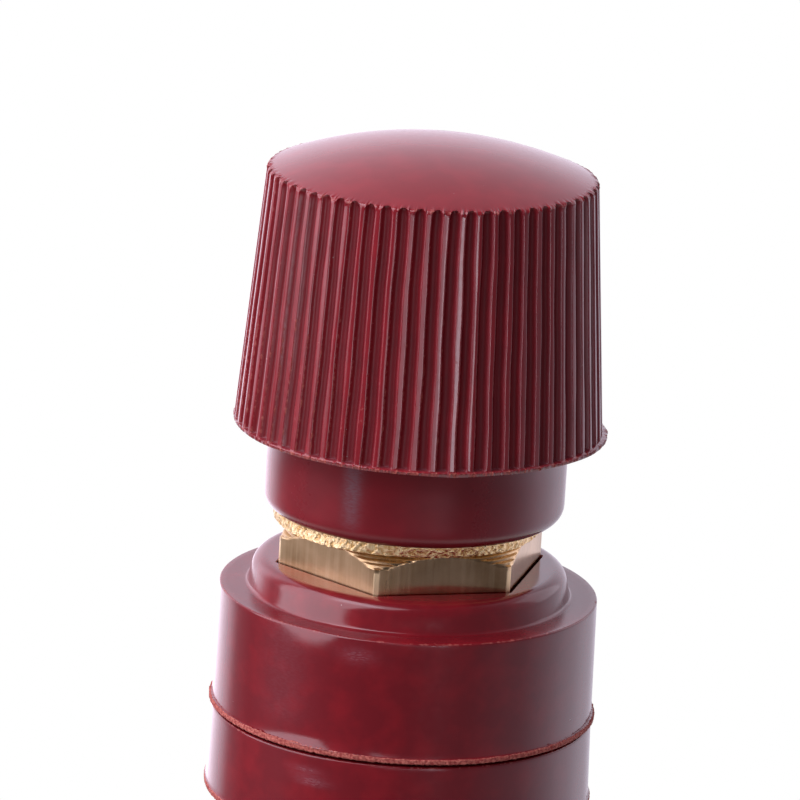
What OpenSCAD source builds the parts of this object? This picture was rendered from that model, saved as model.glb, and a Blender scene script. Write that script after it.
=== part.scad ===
// Panel-mount power binding post with a screw-down fluted knob.
// Z runs along the stud, z = 0 is the panel face under the upper insulator,
// +Z points to the knob and -Y is the front.

/* [Stud] */

// Thread diameter of the stud, M12
thread_d = 12; // [11:0.5:13]
// Thread pitch, also sets the end chamfers
thread_pitch = 1.75; // [1.25:0.25:2]
// Wrench size across the flats of the hexagon collar
hex_af = 19; // [18:0.5:20]
// Height of the hexagon collar
hex_h = 6.2; // [5:0.1:7.5]
// Drop of the chamfer at the corners of the hexagon
hex_drop = 1.3; // [0.8:0.1:1.8]
// Stud length above the hexagon
upper_thread = 20.6; // [14:0.2:21]
// Free stud length below the last nut
free_end = 12; // [6:0.5:20]

/* [Insulators] */

// Diameter of both insulators
insulator_d = 30.6; // [29:0.2:36]
// Height of the upper insulator from the panel to its shoulder
shoulder_h = 9.83; // [7:0.1:14]
// Draft of the side wall, on the radius
wall_draft = 0.15; // [0:0.05:0.4]
// Diameter of the boss on the shoulder
boss_d = 25.5; // [25:0.1:28]
// Height of the boss above the shoulder
boss_h = 2.36; // [1.8:0.1:4]
// Round on the rim of the boss
boss_round = 0.9; // [0.4:0.1:1.2]
// Fillet between the boss and the shoulder
boss_fillet = 0.6; // [0.2:0.1:0.8]
// Depth of the hexagon pocket in the boss
pocket_depth = 3; // [2:0.1:4]
// Width of the moulding lip round the foot
lip_w = 0.45; // [0.2:0.05:0.8]
// Height of the moulding lip round the foot
lip_t = 0.85; // [0.5:0.05:1.2]
// Diameter of the spigot that enters the panel hole
spigot_d = 18; // [16:0.5:20]
// Length of the spigot
spigot_h = 3; // [2:0.25:4]
// Height of the lower insulator
lower_h = 6.85; // [6:0.1:10]
// Slit left between the two insulators
insulator_gap = 0.25; // [0.1:0.05:0.5]

/* [Knob] */

// Diameter over the ridges at the foot of the skirt
knob_d = 29.4; // [28.6:0.1:34]
// Diameter over the ridges at the top of the skirt
knob_top_d = 26.3; // [25.4:0.1:28.4]
// Height of the fluted skirt
skirt_h = 20.7; // [18:0.1:26]
// Rise of the domed top
dome_h = 2.6; // [1.5:0.1:5]
// Number of flutes
flute_n = 62; // [48:2:66]
// Depth of a flute
flute_depth = 0.45; // [0.25:0.05:0.45]
// Radius of the flute cutter
flute_r = 0.5; // [0.45:0.05:0.6]
// Height of the lip that closes the flutes
skirt_lip_t = 0.5; // [0.3:0.05:1]
// Lip beyond the ridges, on the radius
skirt_lip_w = 0.3; // [0.1:0.05:0.6]
// Diameter of the plain collar under the skirt
collar_d = 24.1; // [23.6:0.1:26]
// Height of the plain collar
collar_h = 6.7; // [5:0.1:9]
// Round on the foot of the collar
collar_round = 1.2; // [0.5:0.1:1.3]

/* [Insert] */

// Diameter of the brass flange at the foot of the insert
flange_d = 22.6; // [21:0.1:22.8]
// Bevel on the foot of the flange
flange_bevel = 0.5; // [0.2:0.05:0.6]
// Flange height that stays in view
flange_show = 1.2; // [0.6:0.1:2]
// Diameter of the insert body inside the knob
insert_d = 17.6; // [16.4:0.2:19]
// Depth of the locking groove round the insert body
groove_depth = 0.7; // [0.3:0.1:1]
// Metal over the end of the blind thread
insert_cap = 2; // [1.5:0.1:2.4]

/* [Nuts and washers] */

// Height of the clamp nut and of the lug nut
nut_h = 7; // [5:0.5:10]
// Outer diameter of the flat washers
washer_d = 24; // [22:0.5:28]
// Thickness of the flat washers
washer_t = 1.6; // [1:0.1:3]
// Outer diameter of the spring washers
lock_d = 20.4; // [19:0.2:22]
// Thickness of the spring washers
lock_t = 2.2; // [1.5:0.1:3]
// Slit in the spring washers
lock_slit = 0.9; // [0.5:0.1:1.5]
// Slant of the slit in the spring washers
slit_slant = 25; // [10:1:35]
// Place of the slit in the panel spring washer
panel_slit_turn = -60; // [-180:5:180]
// Place of the slit in the lug spring washer
lug_slit_turn = -125; // [-180:5:180]

/* [Clearances] */

// Stud to the threaded bores, on the radius
thread_gap = 0.05; // [0.03:0.01:0.1]
// Stud to the insulator bores, on the radius
bore_gap = 0.2; // [0.1:0.05:0.4]
// Stud to the washers, on the radius
washer_gap = 0.4; // [0.2:0.05:0.6]
// Hexagon to its pocket
pocket_gap = 0.15; // [0.08:0.01:0.25]
// Spigot to its socket in the lower insulator
socket_gap = 0.25; // [0.15:0.05:0.4]
// Knob foot to the hexagon when screwed down
seat_gap = 0.05; // [0.02:0.01:0.1]
// Moulding to the insert
mould_gap = 0.03; // [0.02:0.01:0.05]

/* [Hidden] */

$fn = 96;

brass = [0.78, 0.62, 0.33];
steel = [0.72, 0.70, 0.64];
oxblood = [0.36, 0.08, 0.10];

stud_r = thread_d / 2;
bore_r = stud_r + thread_gap;
chamfer = thread_pitch * 0.65;
root_r = stud_r - thread_pitch * 0.6;
hex_turn = 16.4;
hex_r = hex_af / 2 / cos(30);
hex_top_r = hex_af / 2 * 0.97;

// Heights above the panel
z_boss = shoulder_h + boss_h;
z_hex = z_boss - pocket_depth;
z_hex_top = z_hex + hex_h;
z_stud_top = z_hex_top + upper_thread;
z_insert = z_hex_top + seat_gap;
z_collar = z_insert + flange_show;
z_skirt = z_collar + collar_h;
z_rim = z_skirt + skirt_h;
z_bore_top = z_stud_top + 1.2;
z_insert_top = z_bore_top + insert_cap;
z_flange = z_insert + flange_show + 1;
z_groove = z_flange + 6;

// Heights below the panel
z_lower = -insulator_gap;
z_washer = z_lower - lower_h;
z_lock = z_washer - washer_t;
z_nut = z_lock - lock_t;
z_lug = z_nut - nut_h;
z_lug_lock = z_lug - washer_t;
z_lug_nut = z_lug_lock - lock_t;
z_end = z_lug_nut - nut_h - free_end;

// Threads: first crest and number of whole turns below and above the hexagon
z_lower_thread = z_end + chamfer;
z_upper_thread = z_hex_top + thread_pitch;
lower_turns = floor((z_washer - z_lower_thread) / thread_pitch);
upper_turns = floor((z_stud_top - chamfer - z_upper_thread) / thread_pitch);

wall_r = insulator_d / 2;
boss_r = boss_d / 2;
spigot_r = spigot_d / 2;
hole_r = stud_r + bore_gap;
collar_r = collar_d / 2;
flange_r = flange_d / 2;
insert_r = insert_d / 2;
ridge_r = knob_d / 2;
rim_r = knob_top_d / 2;
lip_r = ridge_r + skirt_lip_w;
rim_round = 0.7;
dome_r = rim_r - rim_round * 0.8;
dome_z = z_rim;
dome_radius = (dome_r * dome_r + dome_h * dome_h) / (2 * dome_h);
dome_angle = asin(dome_r / dome_radius);
taper = atan((ridge_r - rim_r) / (skirt_h - rim_round));
flute_turn = -90.6 + 180 / flute_n;

// Points of an arc about (x, y), from angle a to angle b
function arc(x, y, r, a, b, n = 8) =
    [for (i = [0 : n]) [x + r * cos(a + (b - a) * i / n), y + r * sin(a + (b - a) * i / n)]];

// Points of a thread drawn as rings, from a crest at z over n turns
function thread(z, n) = concat(
    [for (i = [0 : n - 1], point = [[stud_r, 0], [stud_r, 0.2], [root_r, 0.5], [root_r, 0.7]])
        [point[0], z + (i + point[1]) * thread_pitch]],
    [[stud_r, z + n * thread_pitch]]);

// Hexagon with turned chamfers, standing on z
module hexagon(z, h, foot_drop) {
    intersection() {
        translate([0, 0, z])
            rotate([0, 0, hex_turn])
                cylinder(r = hex_r, h = h, $fn = 6);
        rotate_extrude()
            polygon([
                [0, z], [foot_drop > 0 ? hex_top_r : hex_r + 1, z],
                [hex_r + 1, z + foot_drop * (hex_r + 1 - hex_top_r) / (hex_r - hex_top_r)],
                [hex_r + 1, z + h - hex_drop * (hex_r + 1 - hex_top_r) / (hex_r - hex_top_r)],
                [hex_top_r, z + h], [0, z + h]
            ]);
    }
}

// Nut with its under face at z
module nut(z) {
    difference() {
        hexagon(z, nut_h, hex_drop * 0.7);
        translate([0, 0, z - 1])
            cylinder(r = bore_r, h = nut_h + 2);
    }
}

// Flat washer hanging below z
module flat_washer(z) {
    translate([0, 0, z - washer_t])
        difference() {
            cylinder(d = washer_d, h = washer_t);
            translate([0, 0, -1])
                cylinder(r = stud_r + washer_gap, h = washer_t + 2);
        }
}

// Spring washer pressed flat below z, cut by one slanted slit
module spring_washer(z, turn) {
    translate([0, 0, z - lock_t])
        difference() {
            cylinder(d = lock_d, h = lock_t);
            translate([0, 0, -1])
                cylinder(r = stud_r + washer_gap, h = lock_t + 2);
            rotate([0, 0, turn])
                translate([stud_r - 1, 0, lock_t / 2])
                    rotate([slit_slant, 0, 0])
                        translate([0, -lock_slit / 2, -lock_t * 2])
                            cube([lock_d / 2, lock_slit, lock_t * 4]);
        }
}

// Outline of the insert, grown by g for the moulding round it
function insert_outline(g) = [
    [0, z_insert - (g > 0 ? 1 : 0)],
    [flange_r - flange_bevel + g, z_insert - (g > 0 ? 1 : 0)],
    [flange_r - flange_bevel + g, z_insert],
    [flange_r + g, z_insert + 1.3 * flange_bevel],
    [flange_r + g, z_flange + g],
    [insert_r + g, z_flange + g],
    [insert_r + g, z_groove - g],
    [insert_r - groove_depth + g, z_groove + groove_depth - g],
    [insert_r - groove_depth + g, z_groove + groove_depth + 2 + g],
    [insert_r + g, z_groove + 2 * groove_depth + 2 + g],
    [insert_r + g, z_insert_top + g],
    [0, z_insert_top + g]
];

// Brass stud and hexagon collar turned from one bar
module stud() {
    color(brass)
        union() {
            rotate_extrude()
                polygon(concat(
                    [[0, z_end], [stud_r - chamfer, z_end]],
                    thread(z_lower_thread, lower_turns),
                    thread(z_upper_thread, upper_turns),
                    [[stud_r, z_stud_top - chamfer], [stud_r - chamfer, z_stud_top], [0, z_stud_top]]
                ));
            hexagon(z_hex, hex_h, 0);
        }
}

// Upper insulator: lipped foot, shoulder, boss with the hexagon pocket, spigot
module upper_insulator() {
    color(oxblood)
        difference() {
            rotate_extrude()
                polygon(concat(
                    [[hole_r, -spigot_h], [spigot_r - 0.4, -spigot_h], [spigot_r, 0.4 - spigot_h],
                     [spigot_r, 0], [wall_r + lip_w, 0], [wall_r + lip_w, lip_t * 0.7],
                     [wall_r, lip_t * 1.1]],
                    arc(wall_r - wall_draft - 0.2, shoulder_h - 0.2, 0.2, 0, 90, 4),
                    arc(boss_r + boss_fillet, shoulder_h + boss_fillet, boss_fillet, 270, 180, 6),
                    arc(boss_r - boss_round, z_boss - boss_round, boss_round, 0, 90, 8),
                    [[hole_r, z_boss]]
                ));
            translate([0, 0, z_hex])
                rotate([0, 0, hex_turn])
                    cylinder(r = hex_r + pocket_gap / cos(30), h = hex_h, $fn = 6);
        }
}

// Lower insulator: plain ring with a socket for the spigot and a lipped foot
module lower_insulator() {
    color(oxblood)
        rotate_extrude()
            polygon(concat(
                [[hole_r, z_washer], [wall_r + lip_w, z_washer],
                 [wall_r + lip_w, z_washer + lip_t * 0.6], [wall_r + 0.15, z_washer + lip_t]],
                arc(wall_r - 0.2, z_lower - 0.2, 0.2, 0, 90, 4),
                [[spigot_r + socket_gap, z_lower],
                 [spigot_r + socket_gap, z_lower - spigot_h - socket_gap],
                 [hole_r, z_lower - spigot_h - socket_gap]]
            ));
}

module panel_washer() {
    color(brass)
        flat_washer(z_washer);
}

module panel_lock_washer() {
    color(steel)
        spring_washer(z_lock, panel_slit_turn);
}

module clamp_nut() {
    color(brass)
        nut(z_lug);
}

module lug_washer() {
    color(brass)
        flat_washer(z_lug);
}

module lug_lock_washer() {
    color(steel)
        spring_washer(z_lug_lock, lug_slit_turn);
}

module lug_nut() {
    color(brass)
        nut(z_lug_nut - nut_h);
}

// Blind threaded brass insert, its flange shows under the collar
module knob_insert() {
    color(brass)
        difference() {
            rotate_extrude()
                polygon(insert_outline(0));
            translate([0, 0, z_insert - 1])
                cylinder(r = bore_r, h = z_bore_top - z_insert + 1);
        }
}

// Moulded knob: collar, lipped skirt, flutes and domed top in one piece
module knob() {
    color(oxblood)
        difference() {
            rotate_extrude()
                polygon(concat(
                    [[0, z_collar]],
                    arc(collar_r - collar_round, z_collar + collar_round, collar_round, 270, 360, 8),
                    [[collar_r, z_skirt], [lip_r, z_skirt], [lip_r, z_skirt + skirt_lip_t * 0.6],
                     [ridge_r, z_skirt + skirt_lip_t]],
                    arc(rim_r - rim_round, z_rim - rim_round, rim_round, taper, 90 - dome_angle, 6),
                    arc(0, dome_z + dome_h - dome_radius, dome_radius, 90 - dome_angle, 90, 14)
                ));
            rotate_extrude()
                polygon(insert_outline(mould_gap));
            for (i = [0 : flute_n - 1])
                rotate([0, 0, flute_turn + i * 360 / flute_n])
                    translate([ridge_r + flute_r - flute_depth, 0, z_skirt + skirt_lip_t])
                        rotate([0, -taper, 0])
                            cylinder(r = flute_r, h = skirt_h + 2, $fn = 24);
        }
}

stud();
upper_insulator();
lower_insulator();
panel_washer();
panel_lock_washer();
clamp_nut();
lug_washer();
lug_lock_washer();
lug_nut();
knob_insert();
knob();
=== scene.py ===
import math

import bpy
import numpy as np
from mathutils import Matrix


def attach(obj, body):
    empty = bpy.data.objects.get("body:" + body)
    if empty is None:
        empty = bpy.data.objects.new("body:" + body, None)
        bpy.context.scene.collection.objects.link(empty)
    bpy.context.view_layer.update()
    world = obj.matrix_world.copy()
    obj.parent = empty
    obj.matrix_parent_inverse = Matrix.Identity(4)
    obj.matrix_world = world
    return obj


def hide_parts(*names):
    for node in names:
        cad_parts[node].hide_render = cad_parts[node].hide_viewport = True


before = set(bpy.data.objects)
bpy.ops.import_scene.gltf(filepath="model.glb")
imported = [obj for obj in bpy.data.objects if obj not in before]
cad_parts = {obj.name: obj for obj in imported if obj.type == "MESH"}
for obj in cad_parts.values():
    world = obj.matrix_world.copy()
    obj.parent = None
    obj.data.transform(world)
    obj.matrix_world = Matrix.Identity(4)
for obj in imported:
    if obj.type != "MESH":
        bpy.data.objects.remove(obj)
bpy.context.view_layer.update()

# Stud with its hexagon collar
# One bar of free-cutting brass, drawn as a 19 mm hexagon and turned down to an M12 thread at both ends.
# The hexagon sits in a pocket of the upper insulator, which keeps the stud from turning.

MM = 0.001
SHARP_EDGE = 38
HEX_TURN = 16.4
HEX_ACROSS = 19.0
HEX_FOOT = 9.19
HEX_TOP = 15.39
HEX_DROP = 1.3
HEX_FACE_R = 8.0
CORNER_FLAT = 0.11
CORNER_PALE_FROM = 28.8
CHAMFER_R = 9.2
CHAMFER_STEPS = 5
TREAD = 0.76
TREAD_FALL = 0.42
STAIR_ROWS = np.array([0.0, 0.4, 0.72, 0.77, 0.82, 0.88, 0.95])
STAIR_HIGHLIGHT = [0, 0.8, 1, 0.3, 0, 0, 0]
NECK_R = 6.3
NECK_H = 0.3
THREAD_R = 6.0
THREAD_PITCH = 1.75
THREAD_DEEP = 1.05
THREAD_ROWS = 10
CREST_HALF = 0.07
FLANK = 0.34
RUN_IN = 1.2
RUN_OUT = 0.6
CORE_R = THREAD_R - THREAD_DEEP
UPPER_START = HEX_TOP + 1.6
LOWER_STOP = -8.0
STUD_END = -40.7
STUD_TOP = 35.99
END_INNER_R = 2.0
END_R = 4.2
END_BEVEL = 0.35
END_TAPER = 1.1


def srgb(code):
    """Linear colour of an sRGB hex value: below 0.04045 a straight line, above it a power of 2.4."""
    v = np.array([int(code[i:i + 2], 16) for i in (1, 3, 5)]) / 255.0
    linear = np.where(v <= 0.04045, v / 12.92, ((v + 0.055) / 1.055) ** 2.4)
    return (*[float(c) for c in linear], 1.0)


def add_node(tree, kind, inputs=None, **settings):
    """Adds one shader node: settings are its properties, inputs are plain values or sockets that feed it."""
    node = tree.nodes.new(kind)
    for key, value in settings.items():
        setattr(node, key, value)
    for key, value in (inputs or {}).items():
        if isinstance(value, bpy.types.NodeSocket):
            tree.links.new(value, node.inputs[key])
        else:
            node.inputs[key].default_value = value
    return node


def new_finish(name, colour):
    """An empty material with its Principled shader, named for the finish."""
    material = bpy.data.materials.new(name)
    material.use_nodes = True
    material.diffuse_color = srgb(colour)
    tree = material.node_tree
    tree.nodes.clear()
    shader = add_node(tree, "ShaderNodeBsdfPrincipled")
    add_node(tree, "ShaderNodeOutputMaterial", {"Surface": shader.outputs["BSDF"]})
    return material, tree, shader


def set_piece(name, points, faces, material, body, marks):
    """One piece from points in mm and faces, smooth but for its sharp edges. It replaces the node of its
    name, rides on a body and fills a material slot. Marks are values per point that the material reads."""
    mesh = bpy.data.meshes.new(name)
    mesh.from_pydata((points * MM).tolist(), [], faces)
    for key, values in marks.items():
        mesh.attributes.new(key, "FLOAT", "POINT").data.foreach_set("value", values.astype(np.float32))
    mesh.shade_smooth()
    mesh.set_sharp_from_angle(angle=math.radians(SHARP_EDGE))
    mesh.materials.append(material)
    piece = bpy.data.objects.new(name, mesh)
    bpy.context.scene.collection.objects.link(piece)
    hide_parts(name)
    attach(piece, body)


def turned_piece(name, theta, radius, height, material, body, ring=False, marks=None):
    """Surface round the stud's axis. Row k, column j lies at angle theta[j], at radius[k, j] and
    height[k, j] in mm. A ring joins its last row to its first; otherwise one point on the axis closes each
    end. The profile runs with the solid on its left, so that faces point outwards."""
    rows, cols = radius.shape
    points = np.stack([radius * np.cos(theta), radius * np.sin(theta), height], -1).reshape(-1, 3)
    j = np.arange(cols)
    after = (j + 1) % cols
    k = np.arange(rows if ring else rows - 1)[:, None]
    up = (k + 1) % rows
    quads = np.stack([k * cols + j, k * cols + after, up * cols + after, up * cols + j], -1)
    faces = quads.reshape(-1, 4).tolist()
    if not ring:
        poles = [[0, 0, height[0].mean()], [0, 0, height[-1].mean()]]
        first_pole = np.full(cols, len(points))
        last = (rows - 1) * cols
        faces += np.stack([first_pole, after, j], 1).tolist()
        faces += np.stack([last + j, last + after, first_pole + 1], 1).tolist()
        points = np.concatenate([points, poles])
    at_poles = np.zeros(len(points) - radius.size)
    marks = {key: np.concatenate([values.ravel(), at_poles]) for key, values in (marks or {}).items()}
    set_piece(name, points, faces, material, body, marks)


def hex_reach(theta, across, corner):
    """Distance from the axis to a hexagon's wall at each angle: half its width over the cosine of the angle
    from the nearest face, cut at each corner by a narrow flat."""
    off = 30 - np.abs((np.degrees(theta) - HEX_TURN - 30) % 60 - 30)
    face = across / 2 / np.cos(np.radians(off))
    flat = (across / 2 / math.cos(math.radians(30)) - corner) / np.cos(np.radians(30 - off))
    return np.minimum(face, flat)


def thread_cut(theta, z, low, high):
    """Depth of a right-hand thread: a trapezoid wave of z over the pitch minus the turn, faded out near
    both ends."""
    phase = (z / THREAD_PITCH - theta / (2 * math.pi)) % 1.0
    wave = np.clip((np.abs(phase - 0.5) - CREST_HALF) / FLANK, 0, 1)
    fade = np.clip((z - low) / RUN_IN, 0, 1) * np.clip((high - z) / RUN_OUT, 0, 1)
    return THREAD_DEEP * wave * fade


def chamfer_z(r):
    """Height of the turned chamfer over the hexagon: stairs that drop outwards, each a sloping tread and
    then a steep riser, as a chattering tool leaves them."""
    step = (r - CHAMFER_R) / (corner_r - CHAMFER_R) * CHAMFER_STEPS
    tread = np.clip(step % 1 / TREAD, 0, 1)
    riser = np.clip((step % 1 - TREAD) / (1 - TREAD), 0, 1)
    fall = TREAD_FALL * tread + (1 - TREAD_FALL) * riser
    return HEX_TOP - HEX_DROP * (np.floor(step) + fall) / CHAMFER_STEPS


# Columns are angles from the middle of each face, close together at the corners.
side = np.concatenate([[-30.0, -29.4, -28.97, -28.6], np.linspace(-26.5, 26.5, 25), [28.6, 28.97, 29.4]])
worn_lit_corner = np.tile(np.abs(side) > CORNER_PALE_FROM, 6)
stud_theta = np.radians((np.arange(6)[:, None] * 60 + 30 + HEX_TURN + side).ravel())
reach = hex_reach(stud_theta, HEX_ACROSS, CORNER_FLAT)
corner_r = HEX_ACROSS / 2 / math.cos(math.radians(30))
lower_z = np.arange(STUD_END + END_TAPER, LOWER_STOP, THREAD_PITCH / THREAD_ROWS)
upper_z = np.arange(UPPER_START, STUD_TOP - END_TAPER, THREAD_PITCH / THREAD_ROWS)
stairs = np.append((np.arange(CHAMFER_STEPS)[:, None] + STAIR_ROWS).ravel(), CHAMFER_STEPS)
stair_r = CHAMFER_R + stairs[::-1, None] / CHAMFER_STEPS * (corner_r - CHAMFER_R)
ones = np.ones_like(stud_theta)
lower_r = THREAD_R - thread_cut(stud_theta, lower_z[:, None], STUD_END - RUN_IN, LOWER_STOP - RUN_OUT)
upper_r = THREAD_R - thread_cut(stud_theta, upper_z[:, None], UPPER_START, STUD_TOP)
stud_r = np.concatenate([
    np.outer([END_INNER_R, END_R, CORE_R - 0.05], ones),
    np.minimum(lower_r, CORE_R + (lower_z - lower_z[0])[:, None]),
    np.outer([THREAD_R, THREAD_R, HEX_FACE_R], ones), reach[None], reach[None], np.minimum(reach, stair_r),
    np.outer([HEX_FACE_R, NECK_R, THREAD_R], ones),
    np.minimum(upper_r, CORE_R + (upper_z[-1] - upper_z)[:, None]),
    np.outer([CORE_R - 0.05, END_R, END_INNER_R], ones)])
stud_z = np.concatenate([
    np.outer([STUD_END, STUD_END, STUD_END + END_BEVEL], ones), np.outer(lower_z, ones),
    np.outer([LOWER_STOP + 0.2, HEX_FOOT - 0.01, HEX_FOOT], ones),
    np.outer([HEX_FOOT, HEX_TOP - HEX_DROP - 0.2], ones), chamfer_z(stair_r) * ones,
    np.outer([HEX_TOP, HEX_TOP, HEX_TOP + NECK_H], ones), np.outer(upper_z, ones),
    np.outer([STUD_TOP - END_BEVEL, STUD_TOP, STUD_TOP], ones)])

# Wear and painted highlight: the two rows of the hexagon's wall at its corners, worn and painted pale, and
# the treads of the stairs that stand clear, painted pale as lit lines.
# Three rows close the lower end, and three lead from the lower thread to the hexagon.
hex_row = 3 + len(lower_z) + 3
stair_row = hex_row + 2
wear_and_highlight = np.zeros_like(stud_r)
wear_and_highlight[hex_row:stair_row] = worn_lit_corner
tread_highlight = np.append(np.tile(STAIR_HIGHLIGHT, CHAMFER_STEPS), 0)[::-1, None]
# The treads are painted pale as lit lines: painted highlight.
wear_and_highlight[stair_row:stair_row + len(stair_r)] = 0.7 * tread_highlight * (stair_r < reach - 0.01)

# Drawn and turned brass: warm yellow metal, dulled by handling, with fine lines along the bar from the die.
# The lines are 0.28 mm apart, about as fine as the picture can show. One side is dulled by wear, and the
# worn mark leaves the corners of the hexagon and the treads of its stairs matt and pale: wear at the
# corners, and a painted highlight on the corners and treads.
DIE_LINE = 0.28 * MM
TARNISH = 3 * MM
drawn_brass, tree, shader = new_finish("drawn_brass", "#b4955f")
place = add_node(tree, "ShaderNodeTexCoord").outputs["Object"]
along = add_node(tree, "ShaderNodeMapping", {"Vector": place, "Scale": (1, 1, 0.03)})
lines = add_node(tree, "ShaderNodeTexNoise",
                 {"Vector": along.outputs[0], "Scale": 1 / DIE_LINE, "Detail": 3.0})
dulling = add_node(tree, "ShaderNodeTexNoise", {"Vector": place, "Scale": 1 / TARNISH, "Detail": 4.0})
tarnish = add_node(tree, "ShaderNodeMapRange",
                   {"Value": dulling.outputs[0], "From Min": 0.35, "From Max": 0.7})
tone = add_node(tree, "ShaderNodeMix",
                {0: tarnish.outputs[0], 6: srgb("#d2b188"), 7: srgb("#b09068")}, data_type="RGBA")
streak = add_node(tree, "ShaderNodeMapRange",
                  {"Value": lines.outputs[0], "From Min": 0.4, "From Max": 0.75, "To Max": 0.3})
lined = add_node(tree, "ShaderNodeMix",
                 {0: streak.outputs[0], 6: tone.outputs[2], 7: srgb("#e9d2ae")}, data_type="RGBA")
across_x = add_node(tree, "ShaderNodeSeparateXYZ", {0: place})
handled = add_node(tree, "ShaderNodeMapRange",
                   {"Value": across_x.outputs[0], "From Min": -4 * MM, "From Max": 1 * MM,
                    "To Min": 0.2, "To Max": 0.0})
polish = add_node(tree, "ShaderNodeMapRange", {"Value": lines.outputs[0], "To Min": 0.12, "To Max": 0.22})
corner_wear_and_highlight = add_node(tree, "ShaderNodeAttribute", attribute_name="wear_and_highlight").outputs["Fac"]
rough = add_node(tree, "ShaderNodeMath", {0: polish.outputs[0], 1: handled.outputs[0]}, operation="ADD")
rubbed = add_node(tree, "ShaderNodeMix", {0: corner_wear_and_highlight, 2: rough.outputs[0], 3: 0.5}, data_type="FLOAT")
# Corners and treads painted pale: wear at the corners, painted highlight on corners and treads.
paled = add_node(tree, "ShaderNodeMix",
                 {0: corner_wear_and_highlight, 6: lined.outputs[2], 7: srgb("#fbe2b6")}, data_type="RGBA")
grain = add_node(tree, "ShaderNodeBump",
                 {"Height": lines.outputs[0], "Strength": 0.35, "Distance": 0.03 * MM})
tree.links.new(paled.outputs[2], shader.inputs["Base Color"])
tree.links.new(rubbed.outputs[0], shader.inputs["Roughness"])
tree.links.new(grain.outputs[0], shader.inputs["Normal"])
shader.inputs["Metallic"].default_value = 1.0

turned_piece("stud", stud_theta, stud_r, stud_z, drawn_brass, "post", marks={"wear_and_highlight": wear_and_highlight})

# Upper insulator
# A phenolic moulding, semi-gloss oxblood, that stands on the panel. Its foot keeps the torn edge where the
# moulding flash was broken off, and its boss has the pocket for the hexagon.

WALL_R = 15.3
WALL_DRAFT = 0.13
SHOULDER = 9.83
EDGE_ROUND = 0.16
BOSS_R = 12.95
BOSS_HEAD_R = 12.45
BOSS_TOP = 12.19
BOSS_FOOT = 0.35
BOSS_ROUND = 1.2
FLAT_R = 11.22
HOLE_R = 6.2
HOLE_MIDDLE = 3.0
SPIGOT_R = 9.0
SPIGOT_LOW = -3.0
SPIGOT_ROUND = 0.3
POCKET_ACROSS = 19.3
POCKET_CORNER = 0.05
POCKET_BEVEL = 0.06
FLASH_R = 15.56
FLASH_T = 0.4
FLASH_ROUND = 0.05
FLASH_BREAK = 0.1
FLASH_NIBBLE = 0.08
FLASH_TEAR = 0.1
FLARE = 0.2
FLARE_TOP = 1.3
FLARE_TALL = 0.85
DENT = 0.2
DENT_LOW = 7.8
DENT_TALL = 2.0
SCUFF_Z = 8.5
SCUFF_TALL = 0.6


def turned_profile(corners, step=0.5, turn=12.0):
    """Points of a closed or open profile. Each corner is (r, z, fillet): the fillet is an arc that touches
    both neighbouring stretches, with a point every turn degrees. Straight stretches get a point every
    step mm."""
    c = np.array(corners, float)
    out = []
    for i in range(len(c)):
        here, f = c[i, :2], c[i, 2]
        if f <= 0:
            out.append(here[None])
            continue
        a = c[i - 1, :2] - here
        b = c[(i + 1) % len(c), :2] - here
        a /= np.linalg.norm(a)
        b /= np.linalg.norm(b)
        half = 0.5 * math.acos(float(np.clip(a @ b, -1, 1)))
        centre = here + (a + b) / np.linalg.norm(a + b) * f / math.sin(half)
        start = here + a * f / math.tan(half) - centre
        end = here + b * f / math.tan(half) - centre
        a0 = math.atan2(start[1], start[0])
        sweep = (math.atan2(end[1], end[0]) - a0 + math.pi) % (2 * math.pi) - math.pi
        count = max(3, int(abs(math.degrees(sweep)) / turn) + 2)
        t = a0 + np.linspace(0, sweep, count)
        out.append(centre + f * np.stack([np.cos(t), np.sin(t)], 1))
    points = [out[0]]
    for stretch in out[1:]:
        gap = stretch[0] - points[-1][-1]
        cuts = int(np.linalg.norm(gap) / step)
        if cuts:
            t = np.linspace(0, 1, cuts + 2)[1:-1, None]
            points.append(points[-1][-1] + t * gap)
        points.append(stretch)
    return np.concatenate(points)


def wander(theta, seed, first, last, fall):
    """Smooth random curve round the axis, about -1 to 1: waves from first to last per turn with random
    phases, each weaker by its number to the power fall."""
    n = np.arange(first, last + 1)[:, None]
    phase = np.random.default_rng(seed).uniform(0, 2 * math.pi, n.shape)
    curve = (np.cos(n * theta + phase) / n ** fall).sum(0)
    return curve / np.abs(curve).max()


def patch(theta, centre, width):
    """Bell curve round the axis: 1 at the centre angle, in degrees, falling with the square of the angle
    from it over the width."""
    off = (np.degrees(theta) - centre + 180) % 360 - 180
    return np.exp(-(off / width) ** 2)


def broken_flash(theta, seed):
    """Course of a broken edge, in and out: half slow waves, half fine ones. Then the nibbles along it:
    waves that are finer still."""
    slow = wander(theta, seed, first=2, last=14, fall=0.6)
    fine = wander(theta, seed + 1, first=60, last=330, fall=0.35)
    return 0.5 * slow + 0.5 * fine, wander(theta, seed + 2, first=90, last=340, fall=0.3)


ins_theta = np.radians(HEX_TURN) + np.linspace(0, 2 * math.pi, 720, endpoint=False)
ins_ones = np.ones_like(ins_theta)
outer = turned_profile([
    (HOLE_R, SPIGOT_LOW, 0), (SPIGOT_R, SPIGOT_LOW, SPIGOT_ROUND), (SPIGOT_R, 0.0, 0),
    (FLASH_R - 0.1, 0.0, FLASH_ROUND), (FLASH_R, 0.1, FLASH_ROUND), (FLASH_R, FLASH_T, FLASH_ROUND),
    (WALL_R + 0.02, FLASH_T + 0.06, 0.04), (WALL_R - WALL_DRAFT, SHOULDER, EDGE_ROUND),
    (BOSS_R, SHOULDER, BOSS_FOOT), (BOSS_HEAD_R, BOSS_TOP, BOSS_ROUND), (FLAT_R, BOSS_TOP, 0)],
    step=0.45, turn=9.0)
along_r, along_z = outer.T
outer_r = np.outer(along_r, ins_ones)
outer_z = np.outer(along_z, ins_ones)

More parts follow.
